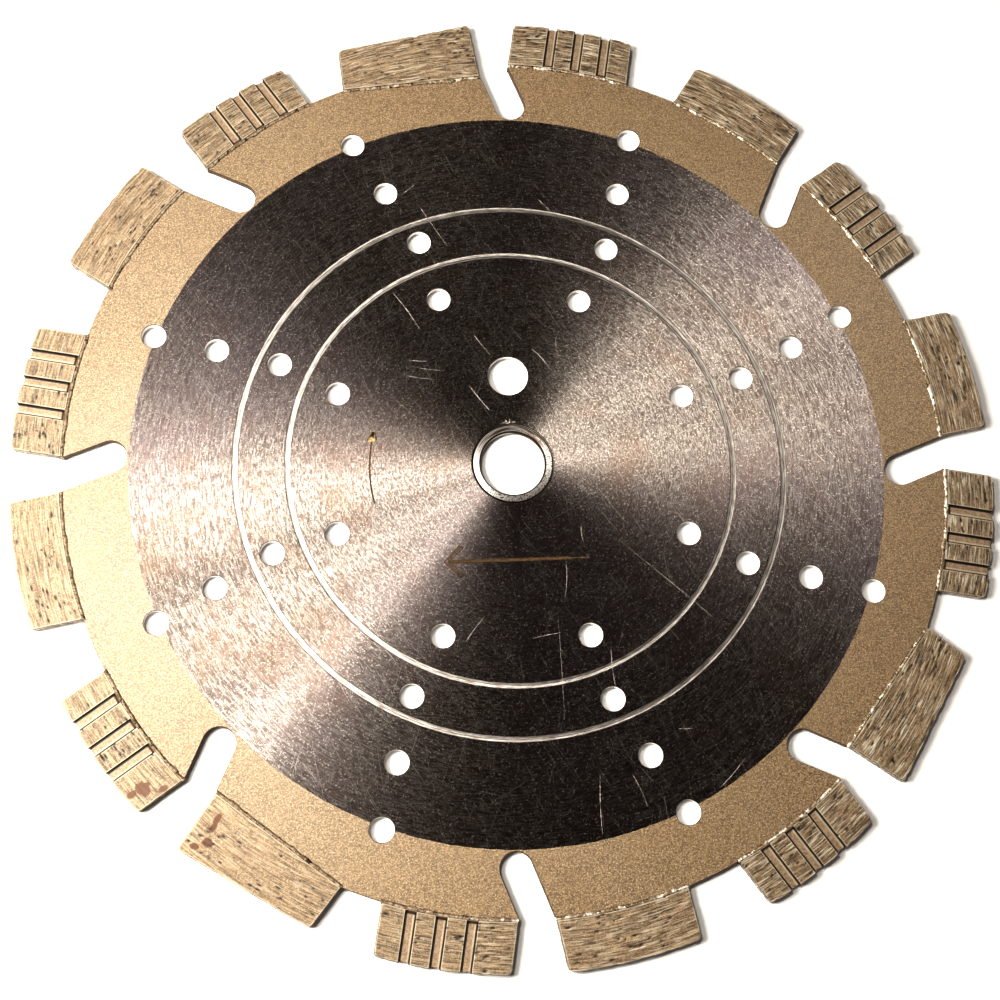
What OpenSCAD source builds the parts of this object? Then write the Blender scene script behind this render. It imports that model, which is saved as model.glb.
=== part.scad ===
// Segmented diamond saw blade, lying flat, +Z out of the marked face.
// Origin: centre of the arbor bore, at mid thickness. Millimetres.
// The drive pin hole is on +Y. Sector 0 has its gullet mouth on +Y, and the
// sectors are counted counter-clockwise, seen from +Z.

/* [Blade] */
// Outside diameter over the segment tips
blade_d = 304.8; // [296:0.2:312]
// Thickness of the steel core
core_t = 2.4; // [2.2:0.1:2.6]
// Thickness of the segments (the kerf)
seg_t = 3.2; // [3.0:0.1:3.6]

/* [Segments] */
// Radial height of a curved segment, from weld to tip
seg_h = 15; // [14:0.5:15.5]
// Length of a curved segment along its chord
seg_len = 40; // [38:0.5:40.5]
// Angle of the plain segment's middle from its gullet mouth
plain_ang = 10.45; // [10.2:0.05:10.8]
// Angle of the turbo segment's middle from its gullet mouth
turbo_ang = 10.85; // [10.6:0.05:11.2]

/* [Turbo grooves] */
// Width of a cooling groove across a turbo segment
groove_w = 3.1; // [2.4:0.1:3.6]
// Depth of a cooling groove in each face
groove_d = 0.75; // [0.3:0.05:1.0]
// Distance between groove centres
groove_pitch = 8.95; // [8:0.05:9.5]
// Dip of a groove in the segment's outer edge
groove_dip = 0.5; // [0.2:0.1:1.0]

/* [Welds] */
// Radial width of the laser weld under a segment
weld_w = 0.8; // [0.6:0.1:1.0]
// Thickness of the weld bead, proud of the core on both faces
weld_t = 2.7; // [2.65:0.05:2.9]

/* [Gullets] */
// Width of a slanted gullet
gullet_w = 9.9; // [8.5:0.1:10.5]
// Slant of a gullet from the radius through its mouth
gullet_tilt = 20; // [18:0.5:22]
// Radius of the gullet's round end from the blade's centre
gullet_r = 122.5; // [122:0.1:123.5]

/* [Cooling holes] */
// Diameter of a cooling hole
cool_d = 7.5; // [5:0.1:8]
// Radius of the outermost ring of cooling holes
cool_r = 118; // [117:0.5:119]

/* [Arbor] */
// Bore of the core, which takes the reducer bushing
core_bore_d = 25.4; // [25.4:0.1:26]
// Bore of the reducer bushing, for the machine's arbor
arbor_d = 20; // [15.9:0.1:22.3]
// Radial clearance of the bushing in the core
bush_gap = 0.02; // [0.01:0.01:0.06]
// Thickness of the bushing
bush_t = 2.2; // [1.8:0.1:2.2]
// Diameter of the drive pin hole
pin_d = 12.7; // [10:0.1:13.5]
// Distance of the drive pin hole from the centre
pin_r = 28.575; // [27:0.1:32]

/* [Tension rings] */
// Radius of the inner tension ring
ring_r1 = 69.2; // [66:0.1:71]
// Radius of the outer tension ring
ring_r2 = 85.1; // [84:0.1:88]
// Width of a tension ring
ring_w = 2.0; // [1:0.1:3]
// Depth of a tension ring in each face
ring_d = 0.08; // [0.02:0.01:0.15]

/* [Hidden] */
$fn = 96;
step = 45;                       // one sector
tip_r = blade_d / 2;             // segment tips
base_r = tip_r - seg_h;          // foot of a curved segment
seat_r = base_r - weld_w;        // bottom of its weld
rim_r = base_r - 0.2;            // bare rim between segments
plain_k = [1, 2, 4, 6, 7];       // sectors with a plain segment
drop_k = [0, 3, 5];              // sectors with a drop segment
// rings of cooling holes: share of cool_r, and angle from the gullet mouth
cool_rows = [[1, 22.96], [5 / 6, 21.5], [4 / 6, 19.3], [0.495, 20.65]];
// corners of a drop segment, in its sector: foot at the gullet, foot at the
// far side, tip at the far side, tip at the gullet
da = [-3.5, 133.2];
db = [-48.6, 128.5];
dc = [-49.8, 142.8];
dd = [-6.4, 152.2];
// the bottom of its weld follows the foot, one weld width nearer the centre
dwa = [da[0] + weld_w * tan(gullet_tilt), da[1] - weld_w];
dwb = [db[0] + 0.05, db[1] - weld_w];

// puts its children in sector k
module sector(k) { rotate([0, 0, step * k]) children(); }

// one slanted gullet, open at the rim
module gullet_2d() {
    translate([gullet_r * sin(2.69), gullet_r * cos(2.69)])
    rotate(gullet_tilt) {
        circle(d = gullet_w);
        translate([-gullet_w / 2, 0]) square([gullet_w, 40]);
    }
}

// the strip between two radii, len wide, around the local +Y axis
module strip_2d(r0, r1, len) {
    intersection() {
        difference() {
            circle(r = r1, $fn = 360);
            circle(r = r0, $fn = 360);
        }
        translate([-len / 2, r0 - 5]) square([len, r1 - r0 + 10]);
    }
}

// what a curved segment and its weld take out of the rim; it runs on a little
// over the gullet, which is to the right (+1) or to the left (-1)
module seat_2d(side) {
    over = 0.8;
    intersection() {
        difference() {
            circle(r = tip_r, $fn = 360);
            circle(r = seat_r, $fn = 360);
        }
        translate([-seg_len / 2 - (side < 0 ? over : 0), seat_r - 5])
            square([seg_len + over, seg_h + 10]);
    }
}

// steel disc, cut for the gullets, the segment seats and every hole
module core() {
    color("#8d8683")
    difference() {
        linear_extrude(height = core_t, center = true)
        difference() {
            circle(r = rim_r, $fn = 720);
            circle(d = core_bore_d);
            translate([0, pin_r]) circle(d = pin_d);
            for (k = [0:7]) rotate(step * k) {
                gullet_2d();
                for (row = cool_rows)
                    rotate(row[1]) translate([0, cool_r * row[0]])
                        circle(d = cool_d, $fn = 48);
                rotate(-turbo_ang) seat_2d(-1);
            }
            for (k = plain_k) rotate(step * k + plain_ang) seat_2d(1);
            for (k = drop_k) rotate(step * k)
                polygon([dwa, dwb, dc, dd, [dwa[0], dd[1]]]);
        }
        // shallow rolled tension rings in both faces
        for (s = [-1, 1], r = [ring_r1, ring_r2])
            rotate_extrude($fn = 360)
                translate([r - ring_w / 2, s > 0 ? core_t / 2 - ring_d : -core_t / 2 - 1])
                    square([ring_w, 1 + ring_d]);
    }
}

// reducer ring that is pressed into the core, with chamfered edges
module bushing() {
    ro = core_bore_d / 2 - bush_gap;
    ri = arbor_d / 2;
    c = 0.3;
    h = bush_t / 2;
    color("#a9a29b")
    rotate_extrude($fn = 128)
        polygon([[ri, -h + c], [ri + c, -h], [ro - c, -h], [ro, -h + c],
                 [ro, h - c], [ro - c, h], [ri + c, h], [ri, h - c]]);
}

// curved diamond segment with flat faces
module plain_segment() {
    color("#b8946a")
    linear_extrude(height = seg_t, center = true)
        strip_2d(base_r, tip_r, seg_len);
}

// curved diamond segment with three cooling grooves in each face; the wide
// tooth is on the gullet side
module turbo_segment() {
    color("#a88458")
    difference() {
        linear_extrude(height = seg_t, center = true)
            strip_2d(base_r, tip_r, seg_len);
        for (i = [0:2]) {
            gx = -6.8 + groove_pitch * i;
            for (s = [-1, 1])
                translate([gx, tip_r + 5, 0])
                rotate([90, 0, 0])
                linear_extrude(height = seg_h + 14)
                    polygon([[-groove_w / 2 + 0.2, s * (seg_t / 2 - groove_d)],
                             [groove_w / 2 - 0.2, s * (seg_t / 2 - groove_d)],
                             [groove_w / 2, s * (seg_t / 2 + 0.01)],
                             [groove_w / 2, s * (seg_t / 2 + 1)],
                             [-groove_w / 2, s * (seg_t / 2 + 1)],
                             [-groove_w / 2, s * (seg_t / 2 + 0.01)]]);
            translate([gx - groove_w / 2, sqrt(tip_r * tip_r - gx * gx) - groove_dip, -seg_t])
                cube([groove_w, 5, 2 * seg_t]);
        }
    }
}

// undercut-protection segment: longer, straight tip, and a slanted foot that
// reaches down beside the gullet
module drop_segment() {
    color("#b8946a")
    linear_extrude(height = seg_t, center = true)
        polygon([da, db, dc, dd]);
}

// laser weld bead between the core and a curved segment
module curved_weld() {
    color("#d8c9a6")
    linear_extrude(height = weld_t, center = true)
        strip_2d(seat_r, base_r, seg_len);
}

// laser weld bead along the slanted foot of a drop segment
module drop_weld() {
    color("#d8c9a6")
    linear_extrude(height = weld_t, center = true)
        polygon([dwa, dwb, db, da]);
}

module seg_plain(i) { sector(plain_k[i]) rotate([0, 0, plain_ang]) plain_segment(); }
module weld_plain(i) { sector(plain_k[i]) rotate([0, 0, plain_ang]) curved_weld(); }
module seg_drop(i) { sector(drop_k[i]) drop_segment(); }
module weld_drop(i) { sector(drop_k[i]) drop_weld(); }
module seg_turbo(i) { sector(i) rotate([0, 0, -turbo_ang]) turbo_segment(); }
module weld_turbo(i) { sector(i) rotate([0, 0, -turbo_ang]) curved_weld(); }

core();
bushing();
seg_plain(0);  // seg_plain_1
seg_plain(1);  // seg_plain_2
seg_plain(2);  // seg_plain_3
seg_plain(3);  // seg_plain_4
seg_plain(4);  // seg_plain_5
seg_drop(0);  // seg_drop_1
seg_drop(1);  // seg_drop_2
seg_drop(2);  // seg_drop_3
seg_turbo(0);  // seg_turbo_1
seg_turbo(1);  // seg_turbo_2
seg_turbo(2);  // seg_turbo_3
seg_turbo(3);  // seg_turbo_4
seg_turbo(4);  // seg_turbo_5
seg_turbo(5);  // seg_turbo_6
seg_turbo(6);  // seg_turbo_7
seg_turbo(7);  // seg_turbo_8
weld_plain(0);  // weld_plain_1
weld_plain(1);  // weld_plain_2
weld_plain(2);  // weld_plain_3
weld_plain(3);  // weld_plain_4
weld_plain(4);  // weld_plain_5
weld_drop(0);  // weld_drop_1
weld_drop(1);  // weld_drop_2
weld_drop(2);  // weld_drop_3
weld_turbo(0);  // weld_turbo_1
weld_turbo(1);  // weld_turbo_2
weld_turbo(2);  // weld_turbo_3
weld_turbo(3);  // weld_turbo_4
weld_turbo(4);  // weld_turbo_5
weld_turbo(5);  // weld_turbo_6
weld_turbo(6);  // weld_turbo_7
weld_turbo(7);  // weld_turbo_8
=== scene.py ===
import math

import bpy
import numpy as np
from mathutils import Matrix, Vector
from mathutils.geometry import delaunay_2d_cdt


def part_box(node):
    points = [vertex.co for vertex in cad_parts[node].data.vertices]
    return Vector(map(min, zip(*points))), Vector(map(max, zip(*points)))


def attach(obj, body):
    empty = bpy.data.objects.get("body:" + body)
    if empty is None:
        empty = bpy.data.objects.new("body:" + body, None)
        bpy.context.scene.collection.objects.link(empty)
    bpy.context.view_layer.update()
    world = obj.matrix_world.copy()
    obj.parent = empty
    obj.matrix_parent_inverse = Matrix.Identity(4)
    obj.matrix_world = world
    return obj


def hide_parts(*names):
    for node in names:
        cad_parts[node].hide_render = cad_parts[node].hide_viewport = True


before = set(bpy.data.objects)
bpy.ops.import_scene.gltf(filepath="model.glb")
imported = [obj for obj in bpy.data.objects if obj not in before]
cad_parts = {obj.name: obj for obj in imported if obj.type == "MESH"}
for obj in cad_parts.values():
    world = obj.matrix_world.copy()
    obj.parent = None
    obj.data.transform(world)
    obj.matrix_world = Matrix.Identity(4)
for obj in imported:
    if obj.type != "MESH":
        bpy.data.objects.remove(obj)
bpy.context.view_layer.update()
MM = 0.001
rng = np.random.default_rng(20)

# ------------------------------------------------------------------ numbers
# The same sizes as the CAD, in millimetres. Sector 0 has its gullet mouth on
# +Y, and the sectors are counted counter-clockwise, seen from +Z.
CORE_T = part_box("core")[1].z * 2 / MM
SEG_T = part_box("seg_plain_1")[1].z * 2 / MM
BUSH_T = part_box("bushing")[1].z * 2 / MM
TIP_R, BASE_R, SEAT_R = 152.4, 137.4, 136.6
PLAIN_ANG, TURBO_ANG = 10.45, -10.85
PLAIN_K, DROP_K = (1, 2, 4, 6, 7), (0, 3, 5)
GROOVES = (-6.8, 2.15, 11.1)
GROOVE_W, GROOVE_FLOOR, GROOVE_D, GROOVE_DIP = 3.1, 2.7, 0.75, 0.5
DROP = ((-3.5, 133.2), (-48.6, 128.5), (-49.8, 142.8), (-6.4, 152.2))
DROP_WELD = ((-3.209, 132.4), (-48.55, 127.7))
RINGS, RING_W, RING_D = (69.2, 85.1), 2.0, 0.08
PAINT_R = 117.1


# -------------------------------------------------------------------- noise
def _hash(ix, iy, seed):
    h = (ix.astype(np.int64) * 374761393 + iy.astype(np.int64) * 668265263 + seed * 974634777) & 0xFFFFFFFF
    h = ((h ^ (h >> 13)) * 1274126177) & 0xFFFFFFFF
    h = ((h ^ (h >> 15)) * 2246822519) & 0xFFFFFFFF
    return ((h ^ (h >> 16)) & 0xFFFFFF) / float(0x1000000)


def noise2(x, y, seed=0):
    """Smooth value noise, 0 to 1."""
    x, y = np.broadcast_arrays(np.asarray(x, float), np.asarray(y, float))
    x0, y0 = np.floor(x), np.floor(y)
    fx, fy = x - x0, y - y0
    fx, fy = fx * fx * (3 - 2 * fx), fy * fy * (3 - 2 * fy)
    a, b = _hash(x0, y0, seed), _hash(x0 + 1, y0, seed)
    c, d = _hash(x0, y0 + 1, seed), _hash(x0 + 1, y0 + 1, seed)
    return (a * (1 - fx) + b * fx) * (1 - fy) + (c * (1 - fx) + d * fx) * fy


def fbm(x, y, seed=0, octaves=3):
    s, w, t = 0.0, 1.0, 0.0
    for i in range(octaves):
        s = s + w * noise2(np.asarray(x) * 2 ** i, np.asarray(y) * 2 ** i, seed + 17 * i)
        t, w = t + w, w * 0.5
    return s / t


def smooth(a, b, x):
    t = np.clip((np.asarray(x, float) - a) / (b - a), 0, 1)
    return t * t * (3 - 2 * t)


# ---------------------------------------------------------------- materials
class Tree:
    """A short way to write node trees."""

    def __init__(self, name):
        self.mat = bpy.data.materials.new(name)
        self.mat.use_nodes = True
        self.t = self.mat.node_tree
        self.t.nodes.clear()
        self.out = self.t.nodes.new("ShaderNodeOutputMaterial")
        self.coord = self.t.nodes.new("ShaderNodeTexCoord").outputs["Object"]

    def put(self, socket, value):
        if isinstance(value, bpy.types.NodeSocket):
            self.t.links.new(value, socket)
        elif value is not None:
            socket.default_value = value

    def node(self, kind, **props):
        n = self.t.nodes.new("ShaderNode" + kind)
        for k, v in props.items():
            setattr(n, k, v)
        return n

    def math(self, op, a, b=None, c=None, clamp=False):
        n = self.node("Math", operation=op, use_clamp=clamp)
        for s, v in zip(n.inputs, (a, b, c)):
            self.put(s, v)
        return n.outputs[0]

    def vec(self, op, a, b=None, scale=None):
        n = self.node("VectorMath", operation=op)
        self.put(n.inputs[0], a)
        if b is not None:
            self.put(n.inputs[1], b)
        if scale is not None:
            self.put(n.inputs["Scale"], scale)
        return n.outputs["Value"] if op in ("LENGTH", "DOT_PRODUCT", "DISTANCE") else n.outputs[0]

    def split(self, v):
        n = self.node("SeparateXYZ")
        self.put(n.inputs[0], v)
        return n.outputs

    def join(self, x=0.0, y=0.0, z=0.0):
        n = self.node("CombineXYZ")
        for s, v in zip(n.inputs, (x, y, z)):
            self.put(s, v)
        return n.outputs[0]

    def noise(self, v, scale=1.0, detail=0.0, rough=0.5, distort=0.0):
        n = self.node("TexNoise", noise_dimensions="3D")
        for k, x in (("Vector", v), ("Scale", scale), ("Detail", detail), ("Roughness", rough), ("Distortion", distort)):
            self.put(n.inputs[k], x)
        return n.outputs[0]

    def voronoi(self, v, scale=1.0, feature="F1", rand=1.0, out="Distance"):
        n = self.node("TexVoronoi", voronoi_dimensions="3D", feature=feature)
        for k, x in (("Vector", v), ("Scale", scale), ("Randomness", rand)):
            self.put(n.inputs[k], x)
        return n.outputs[out]

    def rng(self, v, a, b, lo=0.0, hi=1.0):
        """Maps a..b to lo..hi, smoothly, and holds it outside."""
        n = self.node("MapRange", interpolation_type="SMOOTHSTEP")
        for s, x in zip(n.inputs, (v, a, b, lo, hi)):
            self.put(s, x)
        return n.outputs[0]

    def mix(self, fac, a, b, kind="MIX"):
        n = self.node("Mix", data_type="RGBA", blend_type=kind, clamp_factor=True)
        self.put(n.inputs[0], fac)
        self.put(n.inputs[6], a if isinstance(a, bpy.types.NodeSocket) else (*a, 1.0))
        self.put(n.inputs[7], b if isinstance(b, bpy.types.NodeSocket) else (*b, 1.0))
        return n.outputs[2]

    def attr(self, name):
        return self.node("Attribute", attribute_name=name, attribute_type="GEOMETRY").outputs["Fac"]

    def bump(self, height, dist_mm, strength=1.0, normal=None):
        n = self.node("Bump")
        n.inputs["Strength"].default_value = strength
        n.inputs["Distance"].default_value = dist_mm * MM
        self.put(n.inputs["Height"], height)
        if normal is not None:
            self.put(n.inputs["Normal"], normal)
        return n.outputs[0]

    def shader(self, **inputs):
        n = self.node("BsdfPrincipled")
        for k, v in inputs.items():
            self.put(n.inputs[k.replace("_", " ")], v if not isinstance(v, tuple) else (*v, 1.0))
        self.t.links.new(n.outputs[0], self.out.inputs["Surface"])
        return n

    def scratches(self, p, angle, length, width, seed, lo=0.72, hi=0.78):
        """Sparse thin lines that run one way, in millimetres, as a 0..1 mask."""
        c, s = math.cos(math.radians(angle)), math.sin(math.radians(angle))
        u = self.vec("DOT_PRODUCT", p, (c / length, s / length, 0.0))
        v = self.vec("DOT_PRODUCT", p, (-s / width, c / width, 0.0))
        return self.rng(self.noise(self.join(u, v, float(seed))), lo, hi)


def polar(t):
    """Millimetres, radius and the unit radial direction of the shading point."""
    p = t.vec("SCALE", t.coord, scale=1000.0)
    x, y, _ = t.split(p)
    flat = t.join(x, y, 0.0)
    return p, t.vec("LENGTH", flat), t.vec("NORMALIZE", flat), flat


def arcs(t, r, unit, turns, width, seed=0.0):
    """Coordinates stretched along circles: for ground and brushed marks."""
    return t.vec("ADD", t.vec("SCALE", unit, scale=float(turns)), t.join(0.0, 0.0, t.math("MULTIPLY_ADD", r, 1.0 / width, float(seed))))


def steel_material():
    t = Tree("ground_steel")
    p, r, unit, flat = polar(t)
    fine = t.noise(arcs(t, r, unit, 34, 0.42), detail=1.0, rough=0.55)
    dash = t.noise(arcs(t, r, unit, 26, 0.55, 90.0), detail=0.0)
    long = t.noise(arcs(t, r, unit, 5, 0.55, 40.0), detail=2.0, rough=0.6)
    stain = t.noise(p, 0.045, 3.0, 0.6, 0.4)
    cloud = t.noise(p, 0.011, 2.0, 0.5)
    grit = t.noise(p, 1.5, 1.0, 0.6)
    speck = t.noise(p, 1.9, 0.0)
    lines = None
    for i, (a, ln, w, lo) in enumerate(((-52, 13, 0.22, 0.785), (28, 20, 0.2, 0.795), (71, 16, 0.2, 0.795), (118, 15, 0.2, 0.79),
                                        (-12, 22, 0.2, 0.80), (96, 24, 0.2, 0.79))):
        wob = t.vec("ADD", flat, t.vec("SCALE", t.join(t.noise(p, 0.02 + 0.003 * i), t.noise(p, 0.017 + 0.002 * i), 0.0), scale=6.0))
        s = t.scratches(wob, a, ln, w, 7.3 * i + 1.7, lo, lo + 0.025)
        lines = s if lines is None else t.math("MAXIMUM", lines, s)
    nicks = None
    for i, a in enumerate((15, 62, 104, 147)):
        bent = t.vec("ADD", flat, t.vec("SCALE", t.join(t.noise(p, 0.3 + 0.05 * i), t.noise(p, 0.27 + 0.04 * i), 0.0), scale=2.4))
        s = t.scratches(bent, a, 2.4, 0.24, 31.3 * i + 4.9, 0.79, 0.82)
        nicks = s if nicks is None else t.math("MAXIMUM", nicks, s)
    marks = t.math("MAXIMUM", lines, t.math("MULTIPLY", nicks, 0.8))
    base = t.mix(t.rng(fine, 0.38, 0.62), (0.20, 0.163, 0.143), (0.50, 0.44, 0.395))
    base = t.mix(t.math("MULTIPLY", t.rng(dash, 0.56, 0.68), 0.6), base, (0.15, 0.115, 0.095))
    base = t.mix(t.rng(stain, 0.45, 0.72, 0.0, 0.5), base, (0.27, 0.175, 0.115))
    base = t.mix(t.rng(cloud, 0.42, 0.66, 0.0, 0.4), base, (0.32, 0.255, 0.29))
    base = t.mix(t.rng(grit, 0.42, 0.68, 0.0, 0.4), base, (0.16, 0.12, 0.10))
    base = t.mix(t.math("MULTIPLY", t.rng(speck, 0.69, 0.74), 0.9), base, (0.95, 0.89, 0.81))
    base = t.mix(t.math("MULTIPLY", marks, 0.9), base, (0.88, 0.82, 0.75))
    rough = t.math("ADD", t.rng(long, 0.3, 0.7, 0.275, 0.305), t.rng(grit, 0.35, 0.75, -0.01, 0.02))
    rough = t.math("ADD", rough, t.math("MULTIPLY", marks, 0.26))
    rough = t.math("ADD", rough, t.math("MULTIPLY", t.rng(speck, 0.72, 0.76), 0.30))
    h = t.math("ADD", t.math("MULTIPLY", fine, 0.6), t.math("MULTIPLY", long, 0.5))
    h = t.math("ADD", h, t.math("MULTIPLY", t.rng(speck, 0.66, 0.78), 0.12))
    h = t.math("ADD", h, t.math("MULTIPLY", marks, -0.3))
    t.shader(Base_Color=base, Metallic=1.0, Roughness=rough, Anisotropic=1.0, Tangent=unit,
             Normal=t.bump(h, 0.012, 0.35))
    return t.mat


def gold_material():
    t = Tree("blasted_gold_paint")
    p, r, unit, flat = polar(t)
    grain = t.noise(p, 1.9, 2.0, 0.65)
    cells = t.voronoi(p, 2.1)
    mott = t.noise(p, 0.09, 3.0, 0.6)
    big = t.noise(p, 0.018, 2.0, 0.5)
    glint = t.rng(t.noise(p, 2.4, 0.0), 0.62, 0.72)
    pits = t.rng(t.noise(p, 1.35, 1.0), 0.685, 0.76)
    base = t.mix(t.rng(grain, 0.36, 0.64), (0.19, 0.118, 0.050), (0.52, 0.36, 0.20))
    base = t.mix(t.rng(mott, 0.4, 0.7, 0.0, 0.3), base, (0.38, 0.255, 0.12))
    base = t.mix(t.rng(big, 0.4, 0.7, 0.0, 0.25), base, (0.40, 0.30, 0.195))
    base = t.mix(t.math("MULTIPLY", pits, 0.75), base, (0.10, 0.06, 0.03))
    base = t.mix(t.math("MULTIPLY", glint, 0.6), base, (0.88, 0.74, 0.50))
    h = t.math("ADD", grain, t.math("MULTIPLY", cells, 0.6))
    h = t.math("ADD", h, t.math("MULTIPLY", pits, -0.8))
    t.shader(Base_Color=base, Metallic=0.62, Coat_Weight=0.8, Coat_Roughness=0.37, Coat_IOR=2.3, Roughness=t.rng(grain, 0.3, 0.7, 0.42, 0.50),
             Normal=t.bump(h, 0.07, 0.75))
    return t.mat


def ring_material():
    t = Tree("rolled_ring_steel")
    p, r, unit, flat = polar(t)
    fine = t.noise(arcs(t, r, unit, 20, 0.30), detail=2.0, rough=0.6)
    spots = t.noise(p, 0.35, 3.0, 0.6)
    base = t.mix(t.rng(fine, 0.35, 0.65), (0.46, 0.40, 0.355), (0.94, 0.89, 0.82))
    base = t.mix(t.rng(spots, 0.52, 0.72, 0.0, 0.4), base, (0.32, 0.25, 0.21))
    # Painted shade: dark lines along both edges of each rolled ring, and a thin one just beside its middle, on its side
    # further from the other ring, where the shallow groove would be shaded.
    off = t.math("ADD", t.math("ABSOLUTE", t.math("SUBTRACT", r, sum(RINGS) / 2)), -(RINGS[1] - RINGS[0]) / 2)
    off = t.math("ADD", off, t.math("MULTIPLY_ADD", t.noise(p, 0.25, 1.0), 0.2, -0.1))
    dist = t.math("ABSOLUTE", off)
    line = t.math("MAXIMUM", t.rng(dist, 0.72, 0.92), t.rng(t.math("ABSOLUTE", t.math("SUBTRACT", off, 0.18)), 0.16, 0.04, 0.0, 0.8))
    base = t.mix(line, base, (0.10, 0.07, 0.055))
    t.shader(Base_Color=base, Metallic=1.0, Roughness=t.rng(spots, 0.3, 0.7, 0.30, 0.36),
             Normal=t.bump(fine, 0.01, 0.5))
    return t.mat


def segment_material(name, base_lo, base_hi, ticks):
    t = Tree(name)
    p = t.vec("SCALE", t.coord, scale=1000.0)
    x, y, z = t.split(p)
    r = t.vec("LENGTH", t.join(x, y, 0.0))
    unit = t.vec("NORMALIZE", t.join(x, y, 0.0))
    pit_and_shade, edge, rust, floor = t.attr("pit_and_shade"), t.attr("edge"), t.attr("rust"), t.attr("groove")
    lines = t.noise(arcs(t, r, unit, 18, 0.42), detail=2.0, rough=0.6)
    thin = t.noise(arcs(t, r, unit, 24, 0.40, 15.0), detail=1.0, rough=0.5)
    white = t.noise(arcs(t, r, unit, 22, 0.42, 55.0), detail=1.0, rough=0.5)
    patch = t.noise(p, 0.16, 1.0)
    grain = t.noise(p, 1.7, 2.0, 0.65)
    tiny = t.rng(t.noise(p, 2.7, 0.0), 0.68, 0.76)
    dark = t.rng(t.noise(p, 0.9, 2.0, 0.7), 0.60, 0.72)
    mott = t.noise(p, 0.12, 3.0, 0.6)
    plain = t.math("SUBTRACT", 1.0, floor, clamp=True)
    # The dark and the white streaks are stronger towards +x, the right of the blade.
    toward_right = t.rng(t.math("ADD", x, t.math("MULTIPLY", y, 0.25)), -115.0, 75.0)
    base = t.mix(t.rng(t.math("ADD", t.math("MULTIPLY", lines, 0.6), t.math("MULTIPLY", grain, 0.4)), 0.38, 0.62), base_lo, base_hi)
    base = t.mix(t.rng(mott, 0.42, 0.7, 0.0, 0.35), base, (0.45, 0.31, 0.185))
    base = t.mix(t.math("MULTIPLY", t.math("MULTIPLY", t.rng(thin, 0.55, 0.65), t.rng(patch, 0.3, 0.62, *ticks)), t.math("MULTIPLY_ADD", toward_right, 0.55, 0.45)), base, (0.05, 0.03, 0.016))
    base = t.mix(t.math("MULTIPLY", t.math("MULTIPLY", t.rng(white, 0.55, 0.63), t.rng(patch, 0.35, 0.6, 1.0, 0.55)), t.math("MULTIPLY_ADD", toward_right, 0.75, 0.25)), base, (0.97, 0.88, 0.72))
    base = t.mix(t.math("MULTIPLY", dark, 0.45), base, (0.12, 0.07, 0.035))
    base = t.mix(t.math("MULTIPLY", tiny, 0.55), base, (0.92, 0.82, 0.64))
    base = t.mix(t.math("MULTIPLY", floor, 0.85), base, t.mix(t.rng(grain, 0.35, 0.65), (0.42, 0.29, 0.18), (0.66, 0.49, 0.33)))
    # Painted highlight: a bright band just inside every edge of a segment face. Painted shade: a dark line along the
    # very edge, off the groove floors.
    lip = t.math("MULTIPLY", t.rng(edge, 0.10, 0.35), t.rng(edge, 0.58, 0.70, 1.0, 0.0))
    base = t.mix(t.math("MULTIPLY", lip, 0.6), base, (0.88, 0.78, 0.60))
    base = t.mix(t.math("MULTIPLY", t.rng(edge, 0.62, 0.80), t.math("MULTIPLY", plain, 0.9)), base, (0.07, 0.042, 0.024))
    # The darkest colour follows real pits and striations, plus painted shade on the side walls and along the groove
    # walls.
    base = t.mix(t.rng(pit_and_shade, 0.1, 0.75), base, (0.045, 0.026, 0.014))
    base = t.mix(t.math("MULTIPLY", t.rng(t.math("MULTIPLY", rust, t.math("ADD", grain, 0.5)), 0.35, 0.6), 0.9), base, (0.20, 0.075, 0.025))
    h = t.math("MULTIPLY", t.math("ADD", t.math("MULTIPLY", lines, 0.8), t.math("MULTIPLY", thin, -0.5)), plain)
    h = t.math("ADD", h, t.math("MULTIPLY", grain, 0.6))
    rough = t.math("ADD", t.rng(grain, 0.3, 0.7, 0.45, 0.56), t.math("MULTIPLY", pit_and_shade, 0.25))
    t.shader(Base_Color=base, Metallic=0.76, Coat_Weight=0.8, Coat_Roughness=0.39, Coat_IOR=1.85, Roughness=rough, Normal=t.bump(h, 0.08, 0.7))
    return t.mat


def weld_material():
    t = Tree("laser_weld")
    p = t.vec("SCALE", t.coord, scale=1000.0)
    x, y, z = t.split(p)
    # Painted light: towards +x the bead gets more bright patches, a painted highlight, and towards -x more dark crust,
    # painted shade.
    lit_toward_right = t.rng(x, -75.0, 25.0, 0.12, 1.0)
    n1 = t.noise(p, 1.1, 3.0, 0.7)
    n2 = t.noise(p, 2.6, 1.0)
    crust = t.attr("pit_and_shade")
    blob = t.noise(p, 0.42, 2.0, 0.6)
    base = t.mix(t.rng(n1, 0.35, 0.65), (0.24, 0.165, 0.10), (0.55, 0.43, 0.30))
    base = t.mix(t.math("MULTIPLY", t.rng(blob, 0.50, 0.58), lit_toward_right), base, (0.95, 0.88, 0.76))
    base = t.mix(t.math("MULTIPLY", t.rng(t.math("ADD", crust, t.math("MULTIPLY_ADD", lit_toward_right, -0.22, t.math("MULTIPLY", n2, 0.5))), 0.56, 0.90), 0.9), base, (0.04, 0.024, 0.014))
    t.shader(Base_Color=base, Metallic=0.8, Roughness=t.rng(n2, 0.3, 0.7, 0.36, 0.52),
             Normal=t.bump(t.math("ADD", n1, n2), 0.08, 0.6))
    return t.mat


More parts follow.
